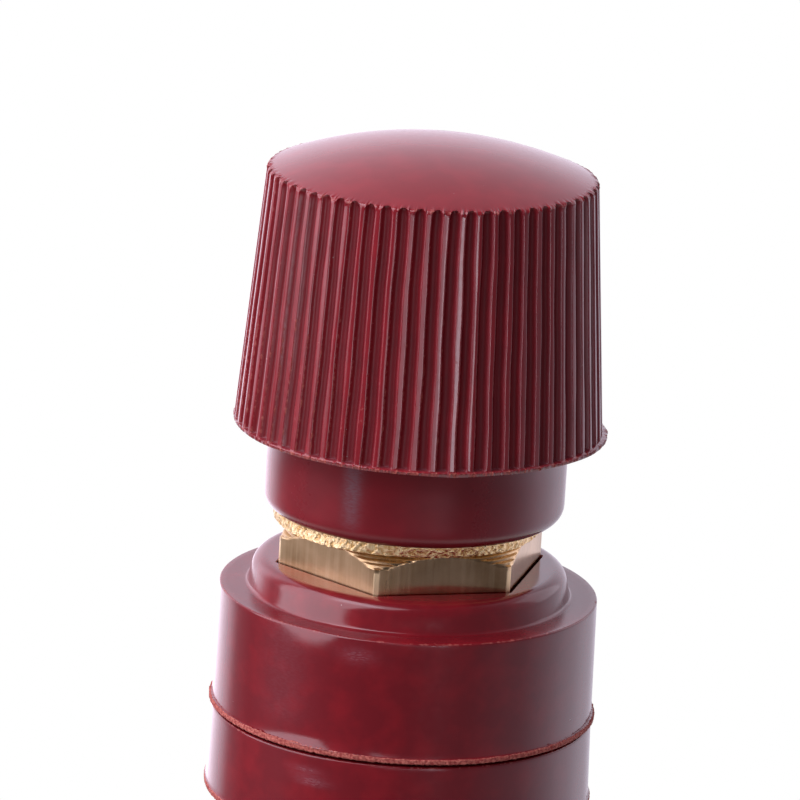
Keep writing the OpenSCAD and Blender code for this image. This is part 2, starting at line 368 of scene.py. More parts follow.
# The wall bulges a little over the foot and is dented under the shoulder, both on the left of the front.
on_wall = (along_r > WALL_R - 0.4) * (along_z > FLASH_T + 0.05)
flare = on_wall * np.clip((FLARE_TOP - along_z) / FLARE_TALL, 0, 1) ** 2
dent = on_wall * np.clip((along_z - DENT_LOW) / DENT_TALL, 0, 1) ** 2
outer_r += np.outer(flare, FLARE * patch(ins_theta, -117, 17))
outer_r -= np.outer(dent, DENT * patch(ins_theta, -120, 11))

# The flash at the foot is broken in and out, nibbled below and torn up above.
foot = (along_r > WALL_R + 0.1) * np.clip((FLASH_T + 0.06 - along_z) / 0.05, 0, 1)
broken, nibble = broken_flash(ins_theta, seed=3)
torn_top = FLASH_TEAR * wander(ins_theta, seed=6, first=20, last=240, fall=0.4)
torn_top += 0.18 * patch(ins_theta, -125, 26) - 0.02
outer_r += np.outer(foot, FLASH_BREAK * broken - 0.04 + 0.05 * patch(ins_theta, 0, 40))
outer_z += np.outer(foot * (along_z < FLASH_T / 2), FLASH_NIBBLE * np.maximum(nibble, -0.2))
outer_z += np.outer(foot * (along_z > FLASH_T / 2), torn_top)

# Inside: the flat top of the boss, the hexagon pocket and the hole for the stud.
pocket_r = hex_reach(ins_theta, POCKET_ACROSS, POCKET_CORNER)
flat_share = np.array([0.4, 0.75, 0.94, 1.0])[:, None]
flat_r = FLAT_R + (pocket_r + POCKET_BEVEL - FLAT_R) * flat_share
hole_r = np.outer([HOLE_R, HOLE_R], ins_ones)
ins_r = np.concatenate([outer_r, flat_r, pocket_r[None], pocket_r[None], hole_r])
flat_z = np.full_like(flat_r, BOSS_TOP)
pocket_z = np.outer([BOSS_TOP - POCKET_BEVEL, HEX_FOOT, HEX_FOOT, HOLE_MIDDLE], ins_ones)
ins_z = np.concatenate([outer_z, flat_z, pocket_z])

# Marks: torn flash and shoulder edge, scuffs on the wall and under the shoulder, and a ledge dulled and
# darkened with painted shade.
inner_rows = np.zeros((len(ins_r) - len(outer), len(ins_theta)))
rim = (along_r > WALL_R - 0.4) * np.clip(1 - np.abs(along_z - SHOULDER + 0.04) / 0.12, 0, 1)
rim_mark = 0.3 + 0.12 * wander(ins_theta, seed=7, first=3, last=40, fall=0.5)
torn_and_highlight = np.concatenate([np.outer(foot, ins_ones) + np.outer(rim, rim_mark), inner_rows])
wall_rows = np.clip((along_z - 1.2) / 1.5, 0, 1) * np.clip((SHOULDER - along_z) / 0.5, 0, 1)
wall_rows = wall_rows * (along_r > WALL_R - 0.3)
high_rows = np.exp(-((along_z - SCUFF_Z) / SCUFF_TALL) ** 2) * (along_r > WALL_R - 0.3)
scuff_and_highlight = 0.25 * np.outer(wall_rows, patch(ins_theta, -128, 9))
scuff_and_highlight += 0.8 * np.outer(high_rows, patch(ins_theta, -104, 5))
scuff_and_highlight = np.concatenate([scuff_and_highlight, inner_rows])
# The ledge is dulled and darkened, the darkening painted shade.
ledge = (np.abs(along_z - SHOULDER) < 0.02) * (along_r < WALL_R - 0.3)
dull_and_shade = np.concatenate([np.outer(0.25 * ledge, ins_ones), inner_rows])

MOTTLE = 2.2 * MM
FILLER = 0.45 * MM
GRIT = 0.2 * MM
STROKE = 0.4 * MM
DUST = 1.7 * MM
POLISHED = 0.1
LESS_POLISHED = 0.22


def phenolic(name, deep, light):
    """Moulded phenolic, a deep red-brown resin with wood-flour filler, glossy from a polished mould. One
    noise mottles the resin from deep to light, and a finer one shifts its shine. Where the mark for torn
    edges plus that finer noise is high, the pale grainy filler shows, and along the knob's ridges it is a
    painted highlight line.
    The mark for scuffs lays fine pale strokes: scuffs, and painted highlight lines on the knob. The mark for
    unpolished places dulls them and darkens them with painted shade. Scattered cells hold a speck of dust."""
    material, tree, shader = new_finish(name, "#6e1c24")
    place = add_node(tree, "ShaderNodeTexCoord").outputs["Object"]
    cloud = add_node(tree, "ShaderNodeTexNoise", {"Vector": place, "Scale": 1 / MOTTLE, "Detail": 4.0})
    filler = add_node(tree, "ShaderNodeTexNoise", {"Vector": place, "Scale": 1 / FILLER, "Detail": 3.0})
    grit = add_node(tree, "ShaderNodeTexNoise", {"Vector": place, "Scale": 1 / GRIT, "Detail": 2.0})
    mottle = add_node(tree, "ShaderNodeMapRange",
                      {"Value": cloud.outputs[0], "From Min": 0.42, "From Max": 0.7})
    resin = add_node(tree, "ShaderNodeMix",
                     {0: mottle.outputs[0], 6: srgb(deep), 7: srgb(light)}, data_type="RGBA")
    tear_and_highlight = add_node(tree, "ShaderNodeAttribute", attribute_name="torn_and_highlight").outputs["Fac"]
    gritty = add_node(tree, "ShaderNodeMapRange",
                      {"Value": grit.outputs[0], "From Min": 0.35, "From Max": 0.68})
    flour = add_node(tree, "ShaderNodeMix",
                     {0: gritty.outputs[0], 6: srgb("#a0322c"), 7: srgb("#dc7f6e")}, data_type="RGBA")
    edge = add_node(tree, "ShaderNodeMath", {0: tear_and_highlight, 1: filler.outputs[0]}, operation="ADD")
    bare = add_node(tree, "ShaderNodeMapRange",
                    {"Value": edge.outputs[0], "From Min": 0.78, "From Max": 1.1})
    # On the knob's ridges this pale filler is also a painted highlight line.
    skin = add_node(tree, "ShaderNodeMix",
                    {0: bare.outputs[0], 6: resin.outputs[2], 7: flour.outputs[2]}, data_type="RGBA")
    rub_and_highlight = add_node(tree, "ShaderNodeAttribute", attribute_name="scuff_and_highlight").outputs["Fac"]
    level = add_node(tree, "ShaderNodeMapping", {"Vector": place, "Scale": (1, 1, 3.5)})
    stroke = add_node(tree, "ShaderNodeTexNoise",
                      {"Vector": level.outputs[0], "Scale": 1 / STROKE, "Detail": 3.0})
    strokes = add_node(tree, "ShaderNodeMapRange",
                       {"Value": stroke.outputs[0], "From Min": 0.35, "From Max": 0.7,
                        "To Min": 0.25, "To Max": 0.68})
    wear_and_highlight = add_node(tree, "ShaderNodeMath", {0: rub_and_highlight, 1: strokes.outputs[0]}, operation="MULTIPLY")
    # Scuffs, and on the knob painted highlight lines, take a pale mauve.
    rubbed = add_node(tree, "ShaderNodeMix",
                      {0: wear_and_highlight.outputs[0], 6: skin.outputs[2], 7: srgb("#94606a")}, data_type="RGBA")
    dust = add_node(tree, "ShaderNodeTexVoronoi", {"Vector": place, "Scale": 1 / DUST})
    lone = add_node(tree, "ShaderNodeSeparateColor", {"Color": dust.outputs["Color"]})
    few = add_node(tree, "ShaderNodeMath", {0: lone.outputs[0], 1: 0.66}, operation="GREATER_THAN")
    near = add_node(tree, "ShaderNodeMath", {0: dust.outputs["Distance"], 1: 0.03}, operation="LESS_THAN")
    speck = add_node(tree, "ShaderNodeMath", {0: few.outputs[0], 1: near.outputs[0]}, operation="MULTIPLY")
    dusted = add_node(tree, "ShaderNodeMix",
                      {0: speck.outputs[0], 6: rubbed.outputs[2], 7: srgb("#d3b8b4")}, data_type="RGBA")
    unpolished_shade = add_node(tree, "ShaderNodeAttribute", attribute_name="dull_and_shade").outputs["Fac"]
    # Darkening towards #4a0e15 where the resin is unpolished is painted shade.
    shade_share = add_node(tree, "ShaderNodeMath", {0: unpolished_shade, 1: 0.65}, operation="MULTIPLY")
    sheen = add_node(tree, "ShaderNodeMapRange", {"Value": unpolished_shade, "To Min": 0.5, "To Max": 0.12})
    colour = add_node(tree, "ShaderNodeMix",
                      {0: shade_share.outputs[0], 6: dusted.outputs[2], 7: srgb("#4a0e15")}, data_type="RGBA")
    gloss = add_node(tree, "ShaderNodeMapRange",
                     {"Value": filler.outputs[0], "To Min": POLISHED, "To Max": LESS_POLISHED})
    dim = add_node(tree, "ShaderNodeMix", {0: unpolished_shade, 2: gloss.outputs[0], 3: 0.5}, data_type="FLOAT")
    hazy = add_node(tree, "ShaderNodeMix",
                    {0: wear_and_highlight.outputs[0], 2: dim.outputs[0], 3: 0.55}, data_type="FLOAT")
    matt = add_node(tree, "ShaderNodeMix",
                    {0: bare.outputs[0], 2: hazy.outputs[0], 3: 0.75}, data_type="FLOAT")
    peel = add_node(tree, "ShaderNodeBump",
                    {"Height": filler.outputs[0], "Strength": 0.12, "Distance": 0.02 * MM})
    crumb = add_node(tree, "ShaderNodeBump",
                     {"Height": grit.outputs[0], "Strength": bare.outputs[0], "Distance": 0.09 * MM,
                      "Normal": peel.outputs[0]})
    tree.links.new(colour.outputs[2], shader.inputs["Base Color"])
    tree.links.new(matt.outputs[0], shader.inputs["Roughness"])
    tree.links.new(sheen.outputs[0], shader.inputs["Specular IOR Level"])
    tree.links.new(crumb.outputs[0], shader.inputs["Normal"])
    shader.inputs["IOR"].default_value = 1.64
    return material


deep_oxblood = phenolic("moulded_phenolic_deep", deep="#801b24", light="#921e27")
turned_piece("upper_insulator", ins_theta, ins_r, ins_z, deep_oxblood, "post", ring=True,
             marks={"torn_and_highlight": torn_and_highlight, "scuff_and_highlight": scuff_and_highlight, "dull_and_shade": dull_and_shade})

# Lower insulator
# The same phenolic, a plain ring under the panel with a socket for the spigot of the upper one.
# Its foot has the same broken flash.

LOWER_TOP = -0.25
LOWER_LOW = -7.1
LOWER_FLASH_R = 15.64
LOWER_BREAK = 0.06
SOCKET_R = SPIGOT_R + 0.25
SOCKET_LOW = -3.5
STROKE_TALL = 0.25
low_profile = turned_profile([
    (HOLE_R, LOWER_LOW, 0), (LOWER_FLASH_R - 0.04, LOWER_LOW, 0.08), (LOWER_FLASH_R, LOWER_LOW + 0.4, 0.1),
    (WALL_R + 0.2, LOWER_LOW + 0.6, 0.2), (WALL_R + 0.02, LOWER_TOP, EDGE_ROUND), (SOCKET_R, LOWER_TOP, 0),
    (SOCKET_R, SOCKET_LOW, 0), (HOLE_R, SOCKET_LOW, 0)], step=0.28, turn=15.0)
low_along_r, low_along_z = low_profile.T
low_r = np.outer(low_along_r, ins_ones)
low_z = np.outer(low_along_z, ins_ones)
low_foot = np.clip((LOWER_LOW + 0.5 - low_along_z) / 0.1, 0, 1) * (low_along_r > WALL_R)
low_broken, low_nibble = broken_flash(ins_theta, seed=13)
low_r += np.outer(low_foot, LOWER_BREAK * low_broken)
low_z += np.outer(low_foot, LOWER_BREAK * np.maximum(low_nibble, 0))
low_wall = low_along_r > WALL_R - 0.2
low_rim = low_wall * np.clip(1 - np.abs(low_along_z - LOWER_TOP + 0.05) / 0.12, 0, 1)
low_rim_mark = 0.28 + 0.1 * wander(ins_theta, seed=16, first=3, last=40, fall=0.5)
low_torn = np.outer(low_foot, ins_ones) + np.outer(low_rim, low_rim_mark)


def rub_mark(z, turn, wide):
    """One short level stroke: a bell curve of the height from its middle times one along the wall."""
    tall = low_wall * np.exp(-((low_along_z - z) / STROKE_TALL) ** 2)
    return np.outer(tall, patch(ins_theta, turn, wide))


low_scuff = 0.7 * rub_mark(-1.5, -118, 5) + 1.0 * rub_mark(-2.45, -115.5, 5) + 0.4 * rub_mark(-2.0, -117, 6)
turned_piece("lower_insulator", ins_theta, low_r, low_z, deep_oxblood, "lower_stack", ring=True,
             marks={"torn_and_highlight": low_torn, "scuff_and_highlight": low_scuff})

# Washers and nuts under the panel
# Two sets of a stamped brass washer, a zinc plated spring washer and a turned brass nut: the first clamps
# the panel, the second holds the cable lug. The spring washers lie pressed flat, with a slanted slit.

WASHER_R = 12.0
WASHER_HOLE = 6.4
WASHER_T = 1.6
LOCK_R = 10.2
LOCK_T = 2.2
LOCK_ROUND = 0.15
SLIT_HALF = 0.5
SLIT_LEAN = 25
LOCK_STEPS = 120
NUT_H = 7.0
NUT_CORNER = 0.1
NUT_FACE_R = 7.5
NUT_FOOT = 0.7
NUT_THREAD = 0.85
BORE_R = 6.05
BORE_SINK = 0.7
SINK_R = 6.5
washer_theta = np.linspace(0, 2 * math.pi, 160, endpoint=False)
washer_ones = np.ones_like(washer_theta)
nut_side = np.concatenate([[-30.0, -29.2], np.linspace(-28.5, 28.5, 17), [29.2]])
nut_theta = np.radians((np.arange(6)[:, None] * 60 + 30 + HEX_TURN + nut_side).ravel())
nut_reach = hex_reach(nut_theta, HEX_ACROSS, NUT_CORNER)
nut_ones = np.ones_like(nut_theta)


def flat_washer(name, top, body):
    """Ring of rectangular section, its outer edges rounded by the stamping."""
    low = top - WASHER_T
    section = turned_profile([(WASHER_HOLE, low, 0.08), (WASHER_R, low, 0.15), (WASHER_R, top, 0.3),
                              (WASHER_HOLE, top, 0.15)], step=1.0, turn=20.0)
    turned_piece(name, washer_theta, np.outer(section[:, 0], washer_ones),
                 np.outer(section[:, 1], washer_ones), drawn_brass, body, ring=True)


def hex_nut(name, top, body):
    """Hexagon between two turned chamfers, with a countersunk bore that carries an inner thread."""
    low = top - NUT_H
    slope = HEX_DROP / (corner_r - CHAMFER_R)
    bore_z = np.arange(top - BORE_SINK, low + BORE_SINK, -THREAD_PITCH / 8)
    bore_r = BORE_R - NUT_THREAD * thread_cut(nut_theta, bore_z[:, None] + THREAD_PITCH / 2, low, top)
    foot_r = CHAMFER_R + (nut_reach - CHAMFER_R) * np.linspace(0, 1, 6)[:, None]
    head_r = foot_r[::-1]
    radius = np.concatenate([
        np.outer([SINK_R, NUT_FACE_R], nut_ones), foot_r, head_r,
        np.outer([NUT_FACE_R, SINK_R], nut_ones), bore_r])
    height = np.concatenate([
        np.outer([low, low], nut_ones), low + NUT_FOOT * slope * (foot_r - CHAMFER_R),
        top - slope * (head_r - CHAMFER_R), np.outer([top, top], nut_ones), np.outer(bore_z, nut_ones)])
    turned_piece(name, nut_theta, radius, height, drawn_brass, body, ring=True)


# Zinc plated spring steel: pale grey, slightly blue, with a soft frosted shine.
FROST = 0.6 * MM
zinc, tree, shader = new_finish("zinc_plated_spring_steel", "#8d8c88")
place = add_node(tree, "ShaderNodeTexCoord").outputs["Object"]
frost = add_node(tree, "ShaderNodeTexNoise", {"Vector": place, "Scale": 1 / FROST, "Detail": 4.0})
grey = add_node(tree, "ShaderNodeMix",
                {0: frost.outputs[0], 6: srgb("#8f9094"), 7: srgb("#b9b8b4")}, data_type="RGBA")
haze = add_node(tree, "ShaderNodeMapRange", {"Value": frost.outputs[0], "To Min": 0.3, "To Max": 0.5})
tree.links.new(grey.outputs[2], shader.inputs["Base Color"])
tree.links.new(haze.outputs[0], shader.inputs["Roughness"])
shader.inputs["Metallic"].default_value = 1.0


def spring_washer(name, top, turn, body):
    """Rounded rectangle carried round the axis from one lip of the slit to the other. The lips lean, because
    the angle of a point shifts with its height over its distance from the axis."""
    half_t = LOCK_T / 2
    section = turned_profile([(WASHER_HOLE, -half_t, LOCK_ROUND), (LOCK_R, -half_t, LOCK_ROUND),
                              (LOCK_R, half_t, LOCK_ROUND), (WASHER_HOLE, half_t, LOCK_ROUND)],
                             step=0.8, turn=25.0)
    r, z = section.T
    n = len(r)
    share = np.linspace(0, 1, LOCK_STEPS + 1)[:, None]
    half = SLIT_HALF / r
    lean = -z * math.tan(math.radians(SLIT_LEAN)) / r
    angle = math.radians(turn) + lean + half + share * (2 * math.pi - 2 * half)
    height = np.broadcast_to(z + top - half_t, angle.shape)
    points = np.stack([r * np.cos(angle), r * np.sin(angle), height], -1).reshape(-1, 3)
    i = np.arange(n)
    k = np.arange(LOCK_STEPS)[:, None]
    quads = np.stack([k * n + i, (k + 1) * n + i, (k + 1) * n + (i + 1) % n, k * n + (i + 1) % n], -1)
    faces = quads.reshape(-1, 4).tolist() + [i.tolist(), (LOCK_STEPS * n + i)[::-1].tolist()]
    set_piece(name, points, faces, zinc, body, {})


top = LOWER_LOW
for use, washers, nut, slit_turn in (("panel", "lower_stack", "clamp_nut", -60),
                                     ("lug", "lug_washers", "lug_nut", -125)):
    flat_washer(use + "_washer", top, washers)
    spring_washer(use + "_lock_washer", top - WASHER_T, slit_turn, washers)
    hex_nut(nut, top - WASHER_T - LOCK_T, nut)
    top -= WASHER_T + LOCK_T + NUT_H

# Knob insert
# A blind brass bushing moulded into the knob. Its flange was broken off a casting gate and never machined,
# so it shows a bright, crinkled band under the collar, broken back on one side.

INSERT_R = 8.8
INSERT_TOP = 39.19
INSERT_BEVEL = 0.4
INSERT_BEVEL_H = 0.39
BORE_TOP = 37.2
BORE_END_R = 3.0
FLANGE_R = 11.3
FLANGE_SEAT_R = FLANGE_R - 0.02
FLANGE_FACE_R = 9.0
FLANGE_FOOT = 15.44
FLANGE_TOP = 17.64
FLANGE_BREAK = 0.85
BAND_TOP = 17.0
BAND_ROWS = 16
BAND_BEVEL = 0.22
BAND_SINK = 0.16
BAND_FOLDS = 0.13
BAND_MIDDLE = 15.9
COLLAR_FOOT = 16.4
insert_theta = np.linspace(0, 2 * math.pi, 720, endpoint=False)
insert_ones = np.ones_like(insert_theta)
band_z = np.linspace(FLANGE_FOOT + 0.12, BAND_TOP, BAND_ROWS)


def crinkle(theta, z, seed, count, wide, tall):
    """Crumpled foil, about -1 to 1: the mean of many slanted waves, each folded by its absolute value."""
    rng = np.random.default_rng(seed)
    n = np.round(rng.uniform(wide * 0.25, wide, count))[:, None, None]
    m = rng.uniform(-tall, tall, count)[:, None, None]
    phase = rng.uniform(0, 2 * math.pi, count)[:, None, None]
    waves = np.abs(np.sin(n * theta + m * z[:, None] + phase)).mean(0)
    return (waves - waves.mean()) / np.abs(waves - waves.mean()).max()


# The foot of the band stands out on the left and draws in at the front. On the right it is broken back.
folds = 0.6 * crinkle(insert_theta, band_z, seed=21, count=6, wide=50, tall=3.0)
folds += 0.4 * crinkle(insert_theta, band_z, seed=23, count=8, wide=150, tall=9.0)
lean_out = np.outer(band_z - BAND_MIDDLE, -0.45 * patch(insert_theta, -135, 28))
lean_in = np.outer(np.minimum(band_z - COLLAR_FOOT, 0), 0.5 * patch(insert_theta, -78, 34))
band_r = FLANGE_R - BAND_SINK + BAND_FOLDS * folds - FLANGE_BREAK * patch(insert_theta, -8, 38)
band_r += lean_out + lean_in
frayed = 0.07 * wander(insert_theta, seed=22, first=5, last=160, fall=0.5)
insert_r = np.concatenate([
    np.outer([BORE_END_R, BORE_R, BORE_R, BORE_R + 0.5, FLANGE_FACE_R], insert_ones),
    band_r[:1] - BAND_BEVEL, band_r,
    np.outer([FLANGE_SEAT_R, FLANGE_SEAT_R, INSERT_R, INSERT_R, INSERT_R - INSERT_BEVEL], insert_ones)])
insert_z = np.concatenate([
    np.outer([BORE_TOP, BORE_TOP, FLANGE_FOOT + 0.6, FLANGE_FOOT, FLANGE_FOOT], insert_ones),
    np.outer([FLANGE_FOOT + 0.01], insert_ones),
    band_z[:, None] + np.outer(np.linspace(1, 0, BAND_ROWS), frayed),
    np.outer([BAND_TOP + 0.2, FLANGE_TOP, FLANGE_TOP], insert_ones),
    np.outer([INSERT_TOP - INSERT_BEVEL_H, INSERT_TOP], insert_ones)])

# Torn brass: bright new metal in fine folds, its colour painted lighter and darker with the folds as
# highlight and shade, and a little duller on one side.
FOLD = 0.3 * MM
torn_brass, tree, shader = new_finish("torn_brass", "#d8b878")
place = add_node(tree, "ShaderNodeTexCoord").outputs["Object"]
fold = add_node(tree, "ShaderNodeTexNoise", {"Vector": place, "Scale": 1 / FOLD, "Detail": 4.0})
shade = add_node(tree, "ShaderNodeMapRange", {"Value": fold.outputs[0], "From Min": 0.36, "From Max": 0.64})
# Colour follows the folds: painted highlight and painted shade.
gold_lit_and_shaded = add_node(tree, "ShaderNodeMix",
                {0: shade.outputs[0], 6: srgb("#cfa468"), 7: srgb("#fbe3b4")}, data_type="RGBA")
facet = add_node(tree, "ShaderNodeBump",
                 {"Height": fold.outputs[0], "Strength": 1.0, "Distance": 0.17 * MM})
across_x = add_node(tree, "ShaderNodeSeparateXYZ", {0: place})
matt = add_node(tree, "ShaderNodeMapRange",
                {"Value": across_x.outputs[0], "From Min": -4 * MM, "From Max": 1 * MM,
                 "To Min": 0.36, "To Max": 0.22})
tree.links.new(gold_lit_and_shaded.outputs[2], shader.inputs["Base Color"])
tree.links.new(matt.outputs[0], shader.inputs["Roughness"])
tree.links.new(facet.outputs[0], shader.inputs["Normal"])
shader.inputs["Metallic"].default_value = 1.0

turned_piece("knob_insert", insert_theta, insert_r, insert_z, torn_brass, "knob_insert")

# Knob
# One phenolic moulding on the insert: a plain collar, a skirt with flutes for the fingers and a domed top.
# The mould parted at the foot of the skirt, where the flash was broken off and closes the flutes with a
# rough lip.

FLUTES = 62
RIDGE_TURN = -90.6
FLUTE_DEEP = 0.47
FLUTE_PITCH = 1.42
FLUTE_HALF = FLUTE_PITCH / 2
RIDGE_HALF = 0.34
LAND_HALF = 0.3
EDGE_AT = 0.28
EDGE_WIDE = 0.05
FLOOR_RISE = 0.05
CHIPS_TOP = 40.0
CHIPS_FADE = 8.0
CAVITY_R = 5.0
CAVITY_GAP = 0.03
COLLAR_R = 12.05
COLLAR_ROUND = 1.2
SKIRT = 23.34
LIP_ROUND = 0.05
LIP_TOP = SKIRT + 0.31
RIDGE_R = 14.7
RIM_R = 13.15
RIM_ROUND = 0.45
RIM_SWEEP = math.radians(67)
RIM = 44.04
DOME_RISE = 2.6

# Columns of one flute: the middle of a ridge, ten steps down, the middle of the groove and ten steps up.
off_ridge = np.array([0.13, 0.18, 0.215, 0.25, 0.285, 0.32, 0.36, 0.41, 0.48, 0.58])
across = np.concatenate([[0.0], off_ridge, [FLUTE_HALF], FLUTE_PITCH - off_ridge[::-1]])
away = np.tile(np.minimum(across, FLUTE_PITCH - across), FLUTES)
from_middle = np.tile(np.where(across > FLUTE_HALF, across - FLUTE_PITCH, across), FLUTES)
flute_no = np.repeat(np.arange(FLUTES), len(across))
flute_share = flute_no + np.tile(across, FLUTES) / FLUTE_PITCH
knob_theta = np.radians(RIDGE_TURN) + flute_share * 2 * math.pi / FLUTES
knob_ones = np.ones_like(knob_theta)

# The profile: cavity of the insert, rounded collar, lip, skirt, rim and dome. Its rows lie close together
# where the flutes begin and end.
cavity = np.array([
    (CAVITY_R, INSERT_TOP + CAVITY_GAP), (INSERT_R + CAVITY_GAP, INSERT_TOP + CAVITY_GAP),
    (INSERT_R + CAVITY_GAP, FLANGE_TOP + CAVITY_GAP), (FLANGE_R + CAVITY_GAP, FLANGE_TOP + CAVITY_GAP)])
collar_t = np.radians(np.linspace(-66.0, 0.0, 7))
collar_part = np.stack([COLLAR_R - COLLAR_ROUND + COLLAR_ROUND * np.cos(collar_t),
                        COLLAR_FOOT + COLLAR_ROUND + COLLAR_ROUND * np.sin(collar_t)], 1)
lip_part = turned_profile([
    (COLLAR_R, COLLAR_FOOT + COLLAR_ROUND + 0.5, 0), (COLLAR_R, SKIRT, 0.12),
    (RIDGE_R - 0.2, SKIRT, LIP_ROUND), (RIDGE_R - 0.02, SKIRT + 0.06, LIP_ROUND),
    (RIDGE_R + 0.04, SKIRT + 0.22, LIP_ROUND), (RIDGE_R + 0.01, LIP_TOP, 0)], step=2.6, turn=40.0)
taper = (RIDGE_R - RIM_R) / (RIM - RIM_ROUND - LIP_TOP)
skirt_z = np.concatenate([LIP_TOP + np.array([0.02, 0.05, 0.09, 0.13, 0.24, 0.5, 0.9]),
                          np.linspace(SKIRT + 1.6, RIM - 2.0, 9), RIM - np.array([1.3, 0.9, 0.68, 0.53])])
skirt_part = np.stack([RIDGE_R - taper * (skirt_z - LIP_TOP), skirt_z], 1)
rim_t = np.radians(np.linspace(4.0, 63.0, 7))
rim_part = np.stack([RIM_R - RIM_ROUND + RIM_ROUND * np.cos(rim_t),
                     RIM + RIM_ROUND * (np.sin(rim_t) - math.sin(RIM_SWEEP))], 1)
dome_r = RIM_R - RIM_ROUND * (1 - math.cos(RIM_SWEEP))
dome_ball = (dome_r ** 2 + DOME_RISE ** 2) / (2 * DOME_RISE)
dome_edge = math.asin(dome_r / dome_ball)
dome_t = np.concatenate([dome_edge - np.array([0.0, 0.005, 0.011, 0.018, 0.03]),
                         np.linspace(dome_edge - 0.07, 0.03, 7)])
dome = np.stack([dome_ball * np.sin(dome_t), RIM + DOME_RISE - dome_ball + dome_ball * np.cos(dome_t)], 1)
shape = np.concatenate([cavity, collar_part, lip_part, skirt_part, rim_part, dome])
shape_r, shape_z = shape.T
knob_r = np.outer(shape_r, knob_ones)
knob_z = np.outer(shape_z, knob_ones)

# The flutes: each ridge falls off as one over one plus the sixth power of the distance from its middle,
# which leaves a flat land that leans a little. The grooves between have a rounded floor, a ledge at the lip
# and an arch under the rim, and every ridge wobbles slightly on its way up.
draw = np.random.default_rng(30)
phase = draw.uniform(0, 2 * math.pi, (2, FLUTES))[:, flute_no]
ridge_half = RIDGE_HALF * draw.uniform(0.92, 1.08, FLUTES)[flute_no]
lean = draw.uniform(-0.1, 0.1, FLUTES)[flute_no]
highlight_strength = draw.uniform(0.6, 1.0, FLUTES)[flute_no]
ridge = 1 / (1 + (away / ridge_half) ** 6)
floor_share = (FLUTE_HALF - away) / (FLUTE_HALF - RIDGE_HALF)
groove = (FLUTE_DEEP - FLOOR_RISE * floor_share ** 2) * (1 - ridge)
groove += (lean * from_middle + np.abs(lean) * 0.2) * ridge
arch = np.clip(1 - (away - 0.25) / (FLUTE_HALF - 0.25), 0, 1) ** 2
run_out = RIM + 0.1 + 0.12 * wander(knob_theta, seed=34, first=8, last=120, fall=0.4) - 0.35 * arch
from_lip = np.clip((knob_z - LIP_TOP) / 0.12, 0, 1)
from_rim = np.clip((run_out - knob_z) / 0.6, 0, 1)
cut = np.sqrt(1 - (1 - from_lip) ** 2) * np.sqrt(1 - (1 - from_rim) ** 2) * (shape_r > COLLAR_R)[:, None]
ridge_line = RIDGE_R - taper * (knob_z - LIP_TOP)
knob_r = np.where(cut > 0, np.minimum(knob_r, ridge_line - cut * groove), knob_r)
wobble = 0.0025 * (np.sin(0.4 * knob_z + phase[0]) + 0.6 * np.sin(0.9 * knob_z + phase[1]))

# The broken edges: the lip is lumpy, proud on one side and sags in places, and the rim is nibbled.
lip = (shape_r > RIDGE_R - 0.25) * np.clip((LIP_TOP - shape_z) / 0.06, 0, 1)
rough_lip = wander(knob_theta, seed=31, first=3, last=40, fall=0.5)
fine_lip = wander(knob_theta, seed=32, first=100, last=500, fall=0.3)
proud = 0.09 * fine_lip + 0.05 * rough_lip + 0.08 * patch(knob_theta, -75, 50)
proud += patch(knob_theta, 2, 32) * (0.3 + 0.1 * rough_lip)
sag = 0.05 * fine_lip + 0.05 * rough_lip - 0.06
sag -= 0.1 * patch(knob_theta, -78, 6) + 0.1 * patch(knob_theta, -15, 16)
knob_r += np.outer(lip, proud)
knob_z += np.outer(lip * (shape_z < SKIRT + 0.15), sag)
nibbled = np.clip(1.8 * (1 - np.abs(shape_z - RIM + 0.12) / 0.24), 0, 1) * (shape_r > RIM_R - 0.65)
knob_r += np.outer(nibbled, 0.1 * wander(knob_theta, seed=35, first=60, last=400, fall=0.3))
knob_z += np.outer(nibbled, 0.05 * wander(knob_theta, seed=36, first=60, last=400, fall=0.3))

# Marks: torn lip and rim, chips on the lands, painted highlight lines on the right and left edges of the
# ridges and on the ledge at the lip, and a scuff in one upright streak of the collar. The grooves and the
# front of the collar are dulled and darkened; the darkening is painted shade, deeper towards the right side
# of each groove.
on_skirt = shape_r > RIM_R - 0.15
crown = 1 / (1 + (away / LAND_HALF) ** 8)
# Painted highlight lines along both edges of each ridge: pale filler on the right edges, pale scuff strokes
# on the left ones, stronger on some ridges than on others.
edge_highlight = np.exp(-((away - EDGE_AT) / EDGE_WIDE) ** 2) * highlight_strength
chips_and_highlight = 0.12 * crown + 0.4 * edge_highlight * (from_middle > 0)
chips_and_highlight = np.outer(on_skirt * np.clip((CHIPS_TOP - shape_z) / CHIPS_FADE, 0.5, 1), chips_and_highlight)
knob_torn_and_highlight = np.outer(lip, 0.28 + 0.16 * rough_lip) + np.outer(nibbled, 0.22 + 0.12 * rough_lip) + chips_and_highlight
on_collar = (shape_r < COLLAR_R + 0.01) * (shape_z < SKIRT)
streak_rows = on_collar * np.clip((shape_z - COLLAR_FOOT - 0.8) / 2.0, 0, 1) * (shape_r > COLLAR_R - 1)
knob_scuff_and_highlight = np.outer(streak_rows, 2.2 * patch(knob_theta, -113.5, 3.4))
# Painted highlight on the left edges of the ridges and on the ledge at the lip.
knob_scuff_and_highlight += np.outer(on_skirt, 0.6 * edge_highlight * (from_middle < 0))
knob_scuff_and_highlight += np.exp(-((knob_z - LIP_TOP - 0.07) / 0.06) ** 2) * (1 - ridge) * on_skirt[:, None]
# Painted shade across each groove, darkest on its right side, and painted shade on the front of the collar;
# the same share dulls their gloss.
groove_shade_and_dull = np.tile(np.clip((across / FLUTE_PITCH + 0.1) / 0.75, 0.5, 1), FLUTES)
knob_dull_and_shade = cut * (1 - ridge) * groove_shade_and_dull + np.outer(on_collar, 0.55 * patch(knob_theta, -100, 52))

